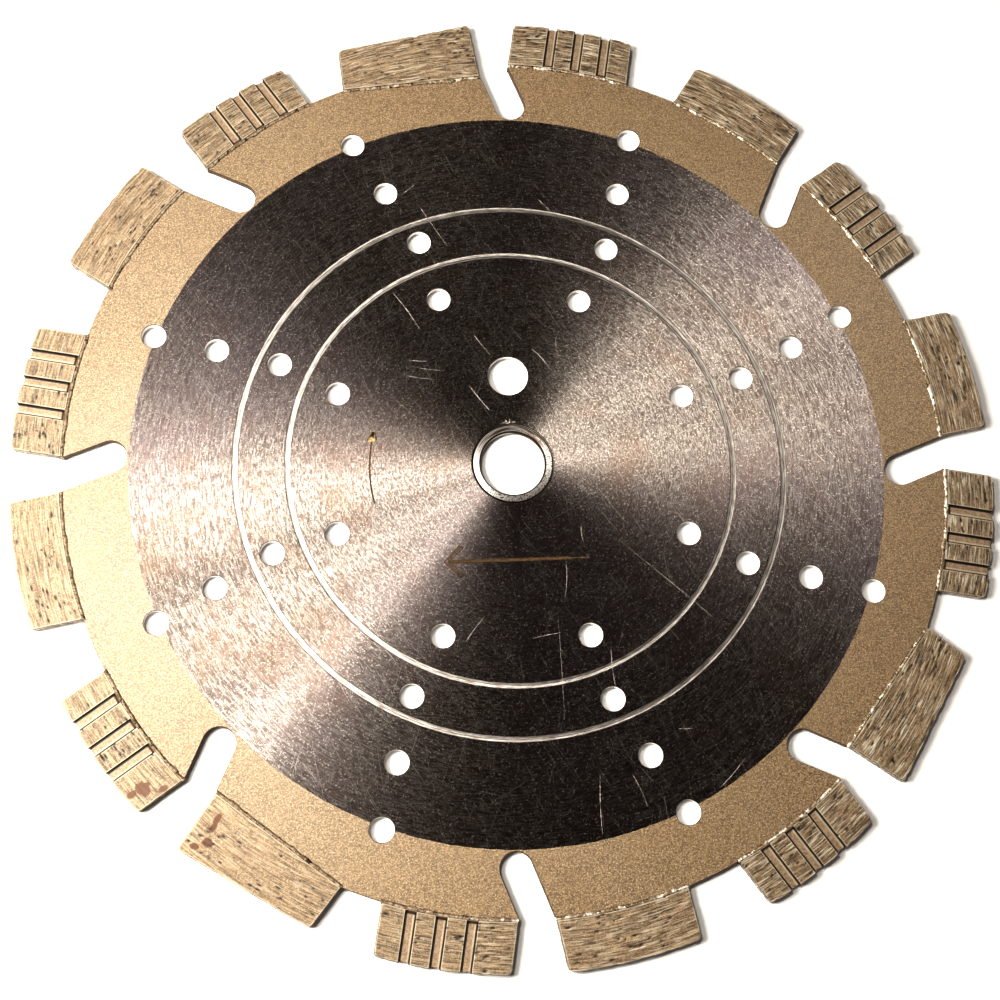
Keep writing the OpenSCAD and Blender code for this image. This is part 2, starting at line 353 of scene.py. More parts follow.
def bushing_material():
    t = Tree("turned_steel")
    p, r, unit, flat = polar(t)
    chamfer_shade = t.attr("chamfer_shade")
    fine = t.noise(arcs(t, r, unit, 9, 0.16), detail=2.0, rough=0.6)
    chat = t.noise(arcs(t, r, unit, 34, 0.7, 11.0), detail=2.0, rough=0.7)
    spots = t.noise(p, 0.6, 3.0, 0.65)
    x, y, z = t.split(unit)
    # The dark chatter spots show mostly towards +x and -y.
    toward_lower_right = t.math("ADD", t.noise(p, 0.05, 1.0), t.math("MULTIPLY_ADD", x, 0.16, t.math("MULTIPLY", y, -0.10)))
    rings = t.noise(t.join(t.math("MULTIPLY", r, 2.6), t.math("MULTIPLY", x, 1.2), y), 1.0, 1.0)
    base = t.mix(t.rng(fine, 0.3, 0.7), (0.74, 0.69, 0.63), (0.96, 0.91, 0.85))
    base = t.mix(t.math("MULTIPLY", t.rng(chat, 0.52, 0.62), t.rng(toward_lower_right, 0.42, 0.54, 0.10, 1.0)), base, (0.05, 0.03, 0.022))
    base = t.mix(t.math("MULTIPLY", t.rng(rings, 0.46, 0.60), t.rng(y, 0.1, 0.8)), base, (0.20, 0.115, 0.075))
    # Painted shade: near-black on the inner and outer chamfers, where the bore edge and the gap to the core are shaded.
    base = t.mix(t.rng(chamfer_shade, 0.2, 0.8), base, t.mix(t.rng(spots, 0.4, 0.6), (0.02, 0.013, 0.01), (0.05, 0.035, 0.028)))
    rough = t.math("ADD", t.rng(spots, 0.3, 0.7, 0.30, 0.40), t.math("MULTIPLY", chamfer_shade, 0.3))
    t.shader(Base_Color=base, Metallic=1.0, Roughness=rough, Anisotropic=0.85, Tangent=unit,
             Normal=t.bump(t.math("ADD", fine, t.math("MULTIPLY", chat, 1.5)), 0.02, 0.7))
    return t.mat


def cut_material():
    """The cut edges of the disc: dark with scale."""
    t = Tree("cut_edge")
    p = t.vec("SCALE", t.coord, scale=1000.0)
    x, y, z = t.split(p)
    n = t.noise(p, 1.3, 2.0, 0.6)
    streak = t.noise(t.join(t.math("MULTIPLY", x, 3.0), t.math("MULTIPLY", y, 3.0), t.math("MULTIPLY", z, 0.5)), 1.0, 1.0)
    base = t.mix(t.rng(n, 0.35, 0.65), (0.045, 0.03, 0.02), (0.13, 0.09, 0.06))
    base = t.mix(t.rng(streak, 0.45, 0.7, 0.0, 0.6), base, (0.20, 0.14, 0.09))
    t.shader(Base_Color=base, Metallic=0.6, Roughness=t.rng(n, 0.3, 0.7, 0.5, 0.65), Normal=t.bump(t.math("ADD", n, streak), 0.03, 0.6))
    return t.mat


def bore_material():
    """The drilled walls of the round holes: near-white, painted light, so the holes read as bright as the lit floor."""
    t = Tree("drilled_wall")
    p = t.vec("SCALE", t.coord, scale=1000.0)
    x, y, z = t.split(p)
    n = t.noise(t.join(t.math("MULTIPLY", x, 0.5), t.math("MULTIPLY", y, 0.5), t.math("MULTIPLY", z, 4.0)), 1.0, 2.0, 0.6)
    base = t.mix(t.rng(n, 0.35, 0.65), (0.80, 0.78, 0.75), (0.96, 0.95, 0.93))
    t.shader(Base_Color=base, Metallic=0.15, Roughness=t.rng(n, 0.3, 0.7, 0.4, 0.55), Normal=t.bump(n, 0.02, 0.5))
    return t.mat


def etch_material():
    t = Tree("laser_etch")
    p = t.vec("SCALE", t.coord, scale=1000.0)
    n = t.noise(p, 1.4, 2.0, 0.6)
    base = t.mix(t.rng(n, 0.35, 0.65), (0.035, 0.02, 0.009), (0.10, 0.058, 0.027))
    t.shader(Base_Color=base, Metallic=0.0, Specular_IOR_Level=0.2, Roughness=t.rng(n, 0.3, 0.7, 0.4, 0.6), Normal=t.bump(n, 0.01, 0.5))
    return t.mat


def etch_gold_material():
    t = Tree("laser_tint")
    p = t.vec("SCALE", t.coord, scale=1000.0)
    n = t.noise(p, 1.4, 2.0, 0.6)
    x, y, z = t.split(p)
    # Painted highlight: the arrow fill left of x = -38 mm is much lighter than the rest.
    far = t.rng(x, -38.0, -30.0, 1.0, 0.0)
    base = t.mix(t.rng(n, 0.35, 0.65), (0.055, 0.032, 0.015), (0.15, 0.092, 0.045))
    base = t.mix(far, base, t.mix(t.rng(n, 0.35, 0.65), (0.30, 0.21, 0.10), (0.75, 0.58, 0.32)))
    t.shader(Base_Color=base, Metallic=0.3, Roughness=t.rng(n, 0.3, 0.7, 0.4, 0.6), Normal=t.bump(n, 0.01, 0.5))
    return t.mat


def score_material():
    t = Tree("bright_scratch")
    p = t.vec("SCALE", t.coord, scale=1000.0)
    n = t.noise(p, 1.1, 2.0, 0.6)
    base = t.mix(t.rng(n, 0.35, 0.65), (0.20, 0.16, 0.14), (0.62, 0.57, 0.52))
    t.shader(Base_Color=base, Metallic=0.35, Roughness=t.rng(n, 0.3, 0.7, 0.35, 0.5), Normal=t.bump(n, 0.01, 0.5))
    return t.mat


def burr_material():
    t = Tree("raised_steel")
    p = t.vec("SCALE", t.coord, scale=1000.0)
    n = t.noise(p, 1.2, 2.0, 0.6)
    base = t.mix(t.rng(n, 0.35, 0.65), (0.55, 0.47, 0.40), (0.95, 0.90, 0.82))
    t.shader(Base_Color=base, Metallic=0.8, Roughness=t.rng(n, 0.3, 0.7, 0.22, 0.4), Normal=t.bump(n, 0.03, 0.5))
    return t.mat


STEEL, GOLD, RING = steel_material(), gold_material(), ring_material()
PLAIN_MAT = segment_material("sintered_plain", (0.25, 0.165, 0.09), (0.68, 0.51, 0.325), (0.2, 0.85))
TURBO_MAT = segment_material("sintered_turbo", (0.22, 0.145, 0.08), (0.66, 0.50, 0.32), (0.45, 1.0))
WELD, BUSH, ETCH, BURR = weld_material(), bushing_material(), etch_material(), burr_material()
CUT, BORE, ETCH_GOLD, SCORE = cut_material(), bore_material(), etch_gold_material(), score_material()


# ------------------------------------------------------------------- meshes
def piece(name, verts, faces, mats, body, replaces=(), face_mat=None, attrs=None, sharp=30.0):
    """A mesh object in the row frame from vertices in millimetres."""
    me = bpy.data.meshes.new(name)
    me.from_pydata((np.asarray(verts, float) * MM).tolist(), [], faces)
    for m in mats:
        me.materials.append(m)
    if face_mat is not None:
        me.polygons.foreach_set("material_index", np.asarray(face_mat, np.int32))
    for k, v in (attrs or {}).items():
        me.attributes.new(k, "FLOAT", "POINT").data.foreach_set("value", np.asarray(v, np.float32).ravel())
    me.polygons.foreach_set("use_smooth", np.ones(len(me.polygons), bool))
    me.set_sharp_from_angle(angle=math.radians(sharp))
    me.update()
    o = bpy.data.objects.new(name, me)
    bpy.context.scene.collection.objects.link(o)
    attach(o, body)
    if replaces:
        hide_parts(*replaces)
    return o


def turn(xy, deg):
    a = math.radians(deg)
    c, s = math.cos(a), math.sin(a)
    xy = np.asarray(xy, float)
    return np.stack([xy[..., 0] * c - xy[..., 1] * s, xy[..., 0] * s + xy[..., 1] * c], -1)


# ---- steel core
def face_loops(node, z):
    """The closed edges of a CAD node's flat face at height z, with the material on their left."""
    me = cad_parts[node].data
    co = np.empty(len(me.vertices) * 3, np.float32)
    me.vertices.foreach_get("co", co)
    co = np.round(co.reshape(-1, 3).astype(float) / MM, 3)
    uniq, inv = np.unique(co, axis=0, return_inverse=True)
    inv = inv.ravel()
    me.calc_loop_triangles()
    tri = np.empty(len(me.loop_triangles) * 3, np.int32)
    me.loop_triangles.foreach_get("vertices", tri)
    tri = inv[tri.reshape(-1, 3)]
    tri = tri[(np.abs(uniq[tri][:, :, 2] - z) < 2e-3).all(1)]
    edges = np.concatenate([tri[:, [0, 1]], tri[:, [1, 2]], tri[:, [2, 0]]])
    have = {(int(a), int(b)) for a, b in edges if a != b}
    follow = {a: b for a, b in have if (b, a) not in have}
    loops = []
    while follow:
        a = next(iter(follow))
        loop = []
        while a in follow:
            loop.append(a)
            a = follow.pop(a)
        loops.append(uniq[loop][:, :2])
    return loops


def shifted(loop, d):
    """A loop moved d to its left, with mitred corners."""
    a = loop - np.roll(loop, 1, 0)
    b = np.roll(loop, -1, 0) - loop
    a /= np.maximum(np.linalg.norm(a, axis=1), 1e-9)[:, None]
    b /= np.maximum(np.linalg.norm(b, axis=1), 1e-9)[:, None]
    n1, n2 = np.stack([-a[:, 1], a[:, 0]], 1), np.stack([-b[:, 1], b[:, 0]], 1)
    k = np.maximum(1 + (n1 * n2).sum(1), 0.35)
    return loop + (n1 + n2) / k[:, None] * d


def paint_radius(theta):
    """Where the paint ends, slightly ragged."""
    s = theta * 117.0
    return PAINT_R + 0.30 * (noise2(s / 0.8, 0.5, 3) - 0.5) + 0.24 * (noise2(s / 3.1, 7.5, 4) - 0.5) + 0.2 * (noise2(s / 40.0, 3.5, 5) - 0.5)


def build_core():
    chamfer = 0.15
    loops = face_loops("core", CORE_T / 2)
    pts, edges, holes, outline = [], [], [], None

    def cham(c, rr):
        return 0.22 if np.linalg.norm(c) < 0.5 and 10 < rr < 20 else chamfer

    def add(loop):
        n = sum(len(q) for q in pts)
        pts.append(loop)
        edges.extend((n + i, n + (i + 1) % len(loop)) for i in range(len(loop)))

    for lp in loops:
        c = (lp.min(0) + lp.max(0)) / 2
        rad = np.linalg.norm(lp - c, axis=1)
        if rad.max() > 120:
            gap = np.linalg.norm(np.roll(lp, -1, 0) - lp, axis=1)
            lp = lp[gap > 0.01]
            outline = shifted(lp, chamfer)
            add(outline)
        elif np.linalg.norm(c) < 0.5 and rad.max() > 20:
            continue                                    # an edge of a tension ring
        else:
            n, rr = (192 if rad.max() > 5 else 108), rad.max()
            ang = -2 * np.pi * np.arange(n) / n
            rt = rr + cham(c, rr)
            add(c + rt * np.stack([np.cos(ang), np.sin(ang)], 1))
            holes.append((c, rt * math.cos(math.pi / n)))
    for r0 in RINGS:
        for off in (-1.0, -0.85, -0.65, -0.4, -0.15, 0.15, 0.4, 0.65, 0.85, 1.0):
            ang = 2 * np.pi * np.arange(360) / 360
            add((r0 + off * RING_W / 2) * np.stack([np.cos(ang), np.sin(ang)], 1))
    th = 2 * np.pi * (np.arange(2400) + 0.5) / 2400
    add(paint_radius(th)[:, None] * np.stack([np.cos(th), np.sin(th)], 1))
    P = np.concatenate(pts)
    v2, _, tris, *_ = delaunay_2d_cdt([Vector(q) for q in P.tolist()], edges, [], 0, 1e-4, False)
    v2 = np.array([tuple(v) for v in v2], float)
    T = np.array([t for t in tris if len(t) == 3], int)
    a, b, c = v2[T[:, 0]], v2[T[:, 1]], v2[T[:, 2]]
    area = (b[:, 0] - a[:, 0]) * (c[:, 1] - a[:, 1]) - (b[:, 1] - a[:, 1]) * (c[:, 0] - a[:, 0])
    T[area < 0] = T[area < 0][:, ::-1]
    cen = (a + b + c) / 3
    keep = np.abs(area) > 1e-7
    for c0, rr in holes:
        keep &= np.linalg.norm(cen - c0, axis=1) > rr * 0.9996
    far = np.where(keep & (np.linalg.norm(cen, axis=1) > 108))[0]
    q, nx = outline, np.roll(outline, -1, 0)
    odd = np.zeros(len(far), int)
    for (x0, y0), (x1, y1) in zip(q, nx):
        if y0 != y1:
            hit = ((cen[far, 1] > y0) != (cen[far, 1] > y1)) & (cen[far, 0] < (x1 - x0) * (cen[far, 1] - y0) / (y1 - y0) + x0)
            odd += hit
    keep[far[odd % 2 == 0]] = False
    T = T[keep]
    sides = [((x, y), (y, z), (z, x)) for x, y, z in T.tolist()]
    held = {e for t in sides for e in t}
    T = T[[any((b0, a0) in held for a0, b0 in t) for t in sides]]      # no loose bits where the outline crosses itself
    used, inv = np.unique(T, return_inverse=True)
    T, v2 = inv.reshape(-1, 3), v2[used]
    rad = np.linalg.norm(v2, axis=1)
    dip = np.zeros(len(v2))
    for r0 in RINGS:
        k = np.abs(rad - r0) < RING_W / 2
        dip[k] = RING_D * (1 - ((rad[k] - r0) / (RING_W / 2)) ** 2)
    zt = CORE_T / 2 - dip
    n = len(v2)
    rc = np.linalg.norm(v2[T].mean(1), axis=1)
    thc = np.arctan2(v2[T].mean(1)[:, 1], v2[T].mean(1)[:, 0])
    mat = np.where(rc > paint_radius(thc), 1, 0)
    for r0 in RINGS:
        mat[np.abs(rc - r0) < RING_W / 2] = 2
    have = {(int(x), int(y)) for t in T.tolist() for x, y in ((t[0], t[1]), (t[1], t[2]), (t[2], t[0]))}
    follow = {x: y for x, y in have if (y, x) not in have}
    verts = [np.column_stack([v2, zt]), np.column_stack([v2, -zt])]
    faces = T.tolist() + (T[:, ::-1] + n).tolist()
    fmat = mat.tolist() + mat.tolist()
    base = 2 * n
    while follow:
        s = next(iter(follow))
        loop = []
        while s in follow:
            loop.append(s)
            s = follow.pop(s)
        xy = v2[loop]
        mid = (xy.min(0) + xy.max(0)) / 2
        size = (xy.max(0) - xy.min(0)).max() / 2
        ch = cham(mid, size)
        out = shifted(xy, -ch)
        m = len(loop)
        hz = CORE_T / 2 - ch
        verts += [np.column_stack([out, np.full(m, hz)]), np.column_stack([out, np.full(m, -hz)])]
        rr = np.linalg.norm((xy + np.roll(xy, -1, 0)) / 2, axis=1)
        lip = np.full(m, 3)
        wall = 3 if size > 100 else 4
        for i in range(m):
            j = (i + 1) % m
            rows = ((loop[i], loop[j]), (base + i, base + j), (base + m + i, base + m + j), (loop[i] + n, loop[j] + n))
            for step, ((a0, b0), (a1, b1)) in enumerate(zip(rows, rows[1:])):
                faces.append((a0, a1, b1, b0))
                fmat.append(wall if step == 1 else int(lip[i]))
        base += 2 * m
    return piece("steel_core", np.concatenate(verts), faces, [STEEL, GOLD, RING, CUT, BORE], "blade",
                 ("core",), fmat, sharp=5.0)


# ---- diamond segments
def spaced(a, b, step, marks=()):
    """Positions from a to b, about step apart, close together at the ends and at marks."""
    out = {round(a, 4), round(b, 4)}
    for e, s in ((a, 1), (b, -1)):
        out |= {round(e + s * d, 4) for d in (0.09, 0.2, 0.36)}
    for m in marks:
        out |= {round(m, 4)}
    fixed = sorted(out)
    full = [fixed[0]]
    for f in fixed[1:]:
        k = max(1, round((f - full[-1]) / step))
        g = full[-1]
        full += [g + (f - g) * i / k for i in range(1, k + 1)]
    return np.array(full)


def segment(name, seed, place, length, height, node, mat, turbo=False, rust=0.0, step=0.45):
    """A sintered segment: both faces, and the four narrow sides, as one closed, weathered surface.
    place(u, v) gives the x and y of length u from the left end and height v above the foot (0 to 1)."""
    g = np.random.default_rng(seed)
    marks = []
    if turbo:
        for c in GROOVES:
            c += length / 2
            marks += [c + q for q in (-1.75, -1.63, -1.55, -1.45, -1.35, -1.1, -0.85, 0.85, 1.1, 1.35, 1.45, 1.55, 1.63, 1.75)]
    us = spaced(0.0, length, step, marks)
    vs = spaced(0.0, height, step)
    U, V = np.meshgrid(us, vs, indexing="ij")
    L, H = length, height
    du, dv, dt = np.minimum(U, L - U), np.minimum(V, H - V), H - V
    # weathered outline: the sides and the tip move in a little, the foot stays on its weld
    o = seed * 3.7
    wl = 0.05 + 0.16 * fbm(V / 1.6, o, 11) ** 2
    wr = 0.05 + 0.16 * fbm(V / 1.6, o + 9, 12) ** 2
    wt = 0.04 + 0.26 * fbm(U / 1.4, o + 5, 13) ** 2
    for _ in range(7):
        c, w, d = g.uniform(1, L - 1), g.uniform(0.4, 1.1), g.uniform(0.08, 0.3)
        wt = wt + d * np.exp(-((U - c) / w) ** 2)
    U2 = U + wl * np.exp(-U / 0.7) - wr * np.exp(-(L - U) / 0.7)
    V2 = V - wt * np.exp(-dt / 0.8)
    for end, sgn in ((U, 1), (L - U, -1)):
        k = g.uniform(0.25, 0.5) * np.exp(-(end ** 2 + dt ** 2) / 0.8 ** 2)
        U2, V2 = U2 + sgn * k, V2 - k
    groove, floor = np.zeros_like(U), np.zeros_like(U)
    if turbo:
        for c in GROOVES:
            a = np.abs(U - c - L / 2)
            groove = np.maximum(groove, 1 - np.clip((a - GROOVE_FLOOR / 2) / ((GROOVE_W - GROOVE_FLOOR) / 2), 0, 1))
            floor = np.maximum(floor, smooth(1.5, 1.3, a) * smooth(0.4, 0.9, V))
        V2 = V2 - GROOVE_DIP * groove * smooth(3.0, 0.0, dt)
    xy = place(U2, np.clip(V2 / H, 0, 1))
    along = xy[-1, 0] - xy[0, 0]
    along = along / np.linalg.norm(along)

    def face(side):
        q = o + 50 * side
        tilt = (0.07 if turbo else 0.0) * (1 if seed % 2 else -1)
        vv = V + tilt * (U - L / 2)
        line = noise2(U / 7.0 + q, vv / 0.55, 21) * 0.6 + noise2(U / 3.2 + q, vv / 0.38 + q, 22) * 0.4
        d = 0.055 * smooth(0.45, 0.8, line) + 0.03 * fbm(U / 6 + q, V / 6, 23) + 0.03 * noise2(U / 0.6 + q, V / 0.6, 24)
        side_of = smooth(-115.0, 75.0, xy[..., 0] + 0.25 * xy[..., 1])
        pit_and_shade = 0.55 * smooth(0.66, 0.84, line) * (0.4 + 0.6 * side_of)
        n = int(L * H / 13)
        px, py = g.uniform(0.6, L - 0.6, n), g.uniform(0.5, H - 0.5, n)
        cx, cy = g.uniform(2, L - 2, 3), g.uniform(2, H - 2, 3)   # pits crowd in a few places
        for i in range(n // 2):
            k = i % 3
            px[i], py[i] = cx[k] + g.normal(0, 3.4), cy[k] + g.normal(0, 2.2)
        for x0, y0 in zip(px, py):
            w, h, dep = g.uniform(0.3, 1.1), g.uniform(0.16, 0.34), g.uniform(0.06, 0.2)
            s = np.exp(-((U - x0) / w) ** 2 - ((vv - tilt * (x0 - L / 2) - y0) / h) ** 2)
            d = d + dep * s
            pit_and_shade = np.maximum(pit_and_shade, s * min(1.0, dep / 0.12))
        b = 0.12 + 0.16 * fbm(U / 1.7 + q, V / 1.7, 25)
        for _ in range(9):                                          # knocks on the edges
            if g.random() < 0.6:
                c0 = (g.uniform(0, L), H)
            else:
                c0 = (g.choice((0.0, L)), g.uniform(0, H))
            w = g.uniform(0.4, 1.3)
            b = b + g.uniform(0.1, 0.4) * np.exp(-((U - c0[0]) ** 2 + (V - c0[1]) ** 2) / w ** 2)
        e = np.minimum(du, np.where(V < H / 2, V + 0.08, dt))
        if turbo:
            for c in GROOVES:
                a = np.abs(U - c - L / 2) - GROOVE_W / 2
                e = np.where(a >= -0.001, np.minimum(e, a + 0.06), e)
        drop = np.where(e < b, b - np.sqrt(np.maximum(b * b - (b - e) ** 2, 0)), 0)
        edge = np.clip(1 - e / 0.55, 0, 1) * (1 - groove)
        if turbo:
            gd = groove * smooth(0.05, 0.75, V + 0.0)
            d = d * (1 - groove * 0.75) + (GROOVE_D - 0.04 + 0.05 * noise2(U / 1.2, V / 3 + q, 26)) * gd
            pit_and_shade = pit_and_shade * (1 - groove)
            for c in GROOVES:                                       # dark bands along both groove walls, wider as painted shade on the wall on the shaded side, a painted highlight beside the lit wall, and a dark band across each groove just above the foot
                for sgn in (-1, 1):
                    # Positive for the groove wall on the lit side, for light from the upper left.
                    light_facing = sgn * np.dot(along, (0.75, -0.66))
                    band = 0.17 + 0.32 * (0.5 - 0.5 * light_facing)
                    t = sgn * (U - c - L / 2)
                    pit_and_shade = np.maximum(pit_and_shade, smooth(1.5 - band - 0.12, 1.5 - band + 0.06, t) * smooth(1.72, 1.6, t) * smooth(0.1, 0.5, V))
                    if light_facing > 0:
                        edge = np.maximum(edge, 0.55 * smooth(1.5 - band - 0.62, 1.5 - band - 0.35, t) * smooth(1.5 - band + 0.1, 1.5 - band - 0.1, t) * smooth(0.7, 1.1, V))
                t = np.abs(U - c - L / 2)
                pit_and_shade = np.maximum(pit_and_shade, 0.9 * smooth(1.6, 1.4, t) * smooth(1.0, 0.7, V) * smooth(0.25, 0.5, V))
        return SEG_T / 2 - np.maximum(d + drop, 0.0), np.clip(pit_and_shade, 0, 1), edge

    zf, pf, ef = face(0)
    zb, pb, eb = face(1)
    nu, nv = len(us), len(vs)
    idx = np.arange(nu * nv).reshape(nu, nv)
    n = nu * nv
    verts = [np.column_stack([xy.reshape(-1, 2), zf.ravel()]), np.column_stack([xy.reshape(-1, 2), -zb.ravel()])]
    a, b, c, d = idx[:-1, :-1], idx[1:, :-1], idx[1:, 1:], idx[:-1, 1:]
    q0 = np.stack([a, b, c, d], -1).reshape(-1, 4)
    # the front winding follows the handedness of place()
    e1, e2 = xy[1, 0] - xy[0, 0], xy[0, 1] - xy[0, 0]
    ccw = e1[0] * e2[1] - e1[1] * e2[0] > 0
    front = q0 if ccw else q0[:, ::-1]
    faces = front.tolist() + (front[:, ::-1] + n).tolist()
    ring = np.concatenate([idx[:-1, 0], idx[-1, :-1], idx[:0:-1, -1], idx[0, :0:-1]])
    if not ccw:
        ring = ring[::-1]
    m = len(ring)
    xyr, z0, z1 = xy.reshape(-1, 2)[ring], zf.ravel()[ring], -zb.ravel()[ring]
    inward = shifted(xyr, 1.0) - xyr
    inward /= np.maximum(np.linalg.norm(inward, axis=1), 1e-9)[:, None]
    rows, s_len = 4, np.arange(m) * 0.4
    rowids = [ring]
    wall_shade = []
    for k in range(1, rows + 1):
        f = k / (rows + 1)
        w = 0.13 * fbm(s_len / 0.8, f * 5 + o, 31) * math.sin(math.pi * f) + 0.02
        w = np.where(np.abs(V.ravel()[ring]) < 0.02, 0.0, w)
        verts.append(np.column_stack([xyr + inward * w[:, None], z0 + (z1 - z0) * f]))
        rowids.append(np.arange(m) + 2 * n + (k - 1) * m)
        # Painted shade: the narrow side walls get a patchy dark colour.
        wall_shade.append(0.3 + 0.6 * smooth(0.35, 0.7, fbm(s_len / 0.9, f * 4 + o, 32)))
    rowids.append(ring + n)
    for r0, r1 in zip(rowids, rowids[1:]):
        faces += np.stack([r0, r1, np.roll(r1, -1), np.roll(r0, -1)], -1).tolist()
    wp = np.concatenate(wall_shade)
    zero = np.zeros(m * rows)
    rs = np.zeros_like(U)
    if rust:
        for _ in range(5):
            rs = np.maximum(rs, np.exp(-((U - g.uniform(0.5, 7.5) if rust > 0 else U - L + g.uniform(0.5, 7.5)) / g.uniform(0.8, 2.2)) ** 2
                                       - ((V - g.uniform(4, H - 1.5)) / g.uniform(0.8, 2.0)) ** 2))
    attrs = {"pit_and_shade": np.concatenate([pf.ravel(), pb.ravel(), wp]), "edge": np.concatenate([ef.ravel(), eb.ravel(), zero]),
             "groove": np.concatenate([floor.ravel(), floor.ravel(), zero]),
             "rust": np.concatenate([rs.ravel(), 0.3 * rs.ravel(), zero])}
    return piece(name, np.concatenate(verts), faces, [mat], "blade", (node,), attrs=attrs, sharp=50.0)


def curved_place(sector, ang):
    def place(u, v):
        x = u - 20.0
        lo, hi = np.sqrt(BASE_R ** 2 - x * x), np.sqrt(TIP_R ** 2 - x * x)
        return turn(np.stack([x, lo + v * (hi - lo)], -1), 45 * sector + ang)
    return place


def drop_place(sector):
    a, b, c, d = (np.array(q, float) for q in DROP)
    length = np.linalg.norm(a - b)

    def place(u, v):
        s = (u / length)[..., None]
        v = v[..., None]
        return turn((b + (a - b) * s) * (1 - v) + (c + (d - c) * s) * v, 45 * sector)
    return place, length


# ---- laser welds
def weld(name, seed, seam, length, node):
    """A rippled bead over the joint, on both faces. seam(u, w) gives x and y at length u and w above its lower edge."""
    n = int(length / 0.22)
    u = np.linspace(0.0, length, n)
    prof = []
    for side in (1, -1):
        q = seed * 5.3 + (0 if side > 0 else 100)
        rip = 0.5 + 0.5 * np.sin(u / 0.9 * 2 * np.pi / 1.3 + 3.0 * fbm(u / 3, q, 41))
        jag = noise2(u / 0.5, q, 42) * 0.6 + noise2(u / 1.5, q + 3, 43) * 0.4
        big = smooth(0.6, 0.9, noise2(u / 2.2, q + 8, 44))
        w0 = -0.20 - 0.60 * (jag - 0.5) - 0.30 * big
        z1 = CORE_T / 2 + 0.05 + 0.10 * jag + 0.08 * big
        z2 = CORE_T / 2 + 0.15 + 0.09 * rip + 0.06 * (noise2(u / 0.6, q + 5, 48) - 0.5)
        z3 = CORE_T / 2 + 0.25 + 0.07 * noise2(u / 0.7, q + 1, 45)
        col = [(w0, CORE_T / 2 - 0.05 + 0 * u), (w0 + 0.16, z1), (0.30 + 0.12 * (rip - 0.5), z2),
               (0.66 + 0.10 * (jag - 0.5), z3), (1.05 + 0 * u, CORE_T / 2 + 0.12 + 0 * u)]
        prof += col if side > 0 else [(w, -z) for w, z in reversed(col)]
    k = len(prof)
    rows = []
    for w, z in prof:
        xy = seam(u, w * np.ones_like(u))
        rows.append(np.column_stack([xy, z * np.ones_like(u)]))
    verts = np.stack(rows, 1).reshape(-1, 3)
    idx = np.arange(n * k).reshape(n, k)
    a, b = idx[:-1], idx[1:]
    quads = np.stack([a, b, np.roll(b, -1, 1), np.roll(a, -1, 1)], -1).reshape(-1, 4).tolist()
    quads += [idx[0].tolist(), idx[-1][::-1].tolist()]
    p0, p1, p2 = verts[idx[0, 0]], verts[idx[1, 0]], verts[idx[0, 1]]
    mid = verts[idx[0]].mean(0)
    nrm = np.cross(p1 - p0, p2 - p0)
    if np.dot(nrm, p0 - mid) < 0:
        quads = [f[::-1] for f in quads]
    crust = np.zeros((n, k))
    crust[:, [0, k - 1]] = 0.8
    crust[:, [4, 5]] = 0.9
    crust += 0.8 * smooth(0.62, 0.85, noise2(np.arange(n)[:, None] / 2.2, np.arange(k)[None, :] * 0.9 + seed * 1.7, 47))
    return piece(name, verts, quads, [WELD], "blade", (node,), attrs={"pit_and_shade": np.clip(crust, 0, 1).ravel()}, sharp=75.0)


def curved_seam(sector, ang):
    def seam(u, w):
        x, r = u - 20.0, SEAT_R + w
        return turn(np.stack([x, np.sqrt(r * r - x * x)], -1), 45 * sector + ang)
    return seam


def drop_seam(sector):
    a, b = np.array(DROP[0], float), np.array(DROP[1], float)
    wa, wb = np.array(DROP_WELD[0], float), np.array(DROP_WELD[1], float)
    length = np.linalg.norm(a - b)

    def seam(u, w):
        s, t = (u / length)[:, None], (w / 0.8)[:, None]
        lo, hi = wb + (wa - wb) * s, b + (a - b) * s
        return turn(lo + (hi - lo) * t, 45 * sector)
    return seam, length


# ---- reducer bushing
def lathe(name, profile, n, mat, body, node=(), attrs=None):
    prof = np.array(profile, float)
    k = len(prof)
    th = 2 * np.pi * np.arange(n) / n
    R = np.repeat(prof[:, 0][None, :], n, 0)
    verts = np.stack([R * np.cos(th)[:, None], R * np.sin(th)[:, None], np.broadcast_to(prof[:, 1], R.shape)], -1).reshape(-1, 3)
    idx = np.arange(n * k).reshape(n, k)
    a, b = idx, np.roll(idx, -1, 0)
    quads = np.stack([a, b, np.roll(b, -1, 1), np.roll(a, -1, 1)], -1).reshape(-1, 4).tolist()
    return piece(name, verts, quads, [mat], body, node, attrs=attrs, sharp=28.0)


def build_bushing():
    ri, ro, h = 10.0, 12.68, BUSH_T / 2
    half = [(ri, h - 0.42), (ri + 0.04, h - 0.3), (ri + 0.16, h - 0.1), (ri + 0.3, h - 0.02), (ri + 0.46, h), (ri + 0.62, h), (12.16, h),
            (12.24, h - 0.015), (12.36, h - 0.10), (12.48, h - 0.22), (12.60, h - 0.34), (ro, h - 0.44)]
    # Painted shade on the chamfers, one value per profile point; 1 is darkest.
    chamfer_shade_profile = [0.45, 1.0, 1.0, 0.85, 0.45, 0.0, 0.0, 0.35, 1.0, 1.0, 1.0, 1.0]
    prof = half + [(r, -z) for r, z in reversed(half)]
    return lathe("reducer_ring", prof[::-1], 240, BUSH, "bushing", ("bushing",),
                 attrs={"chamfer_shade": np.tile(chamfer_shade_profile + chamfer_shade_profile[::-1], 240)})


